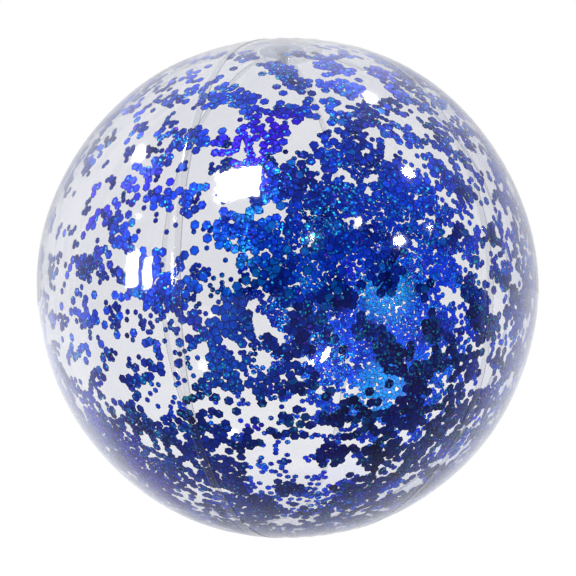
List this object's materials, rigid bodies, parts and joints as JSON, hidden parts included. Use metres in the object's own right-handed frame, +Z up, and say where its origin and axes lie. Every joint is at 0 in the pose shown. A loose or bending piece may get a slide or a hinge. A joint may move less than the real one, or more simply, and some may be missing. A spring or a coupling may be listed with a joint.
{
  "type": "inflatable beach ball",
  "caption": "Clear inflatable beach ball of lap-welded film panels with a push-in air valve, tethered plug and hexagonal confetti sealed inside.",
  "frame": {"origin": "the point under the centre of the ball where the bottom end disc rests on the ground", "axes": "+Z up through both end discs and the air valve; -Y is the side that faces the viewer; panel seams at azimuths 10 degrees plus multiples of 60"},
  "size_m": [0.3994, 0.3994, 0.4017],
  "materials": {
    "film": "clear soft PVC film, glossy, slightly milky",
    "valve_moulding": "clear soft PVC moulding, slightly cloudy",
    "confetti": "blue metallised holographic flakes"
  },
  "bodies": {
    "ball": {"panel_1": "film", "panel_2": "film", "panel_3": "film", "panel_4": "film", "panel_5": "film", "panel_6": "film", "top_end_disc": "film", "bottom_end_disc": "film", "valve_flange": "valve_moulding", "valve_bellows": "valve_moulding", "confetti_1": "confetti", "confetti_2": "confetti", "confetti_3": "confetti", "confetti_4": "confetti", "confetti_5": "confetti", "confetti_6": "confetti"},
    "stem": {"valve_stem": "valve_moulding"},
    "plug": {"plug_tether": "valve_moulding", "valve_plug": "valve_moulding"},
    "flap": {"check_flap": "valve_moulding"},
    "loose_pieces": {"loose_confetti": "confetti"}
  },
  "joints": [
    {"name": "stem_push_pull", "type": "slide", "parent": "ball", "child": "stem", "axis": [0, 0, 1], "range_m": [0, 0.012], "deforming": ["valve_bellows"]},
    {"name": "plug_swing", "type": "hinge", "parent": "stem", "child": "plug", "pos_m": [-0.0082, 0, 0.4009], "axis": [0, -1, 0], "range_deg": [0, 110]},
    {"name": "flap_open", "type": "hinge", "parent": "stem", "child": "flap", "pos_m": [-0.0045, 0, 0.38515], "axis": [0, 1, 0], "range_deg": [0, 60], "stiffness_Nm_per_rad": 0.0001, "springref_deg": -17.19},
    {"name": "confetti_roll", "type": "hinge", "parent": "ball", "child": "loose_pieces", "pos_m": [0, 0, 0.2], "axis": [0, 1, 0], "continuous": true}
  ]
}
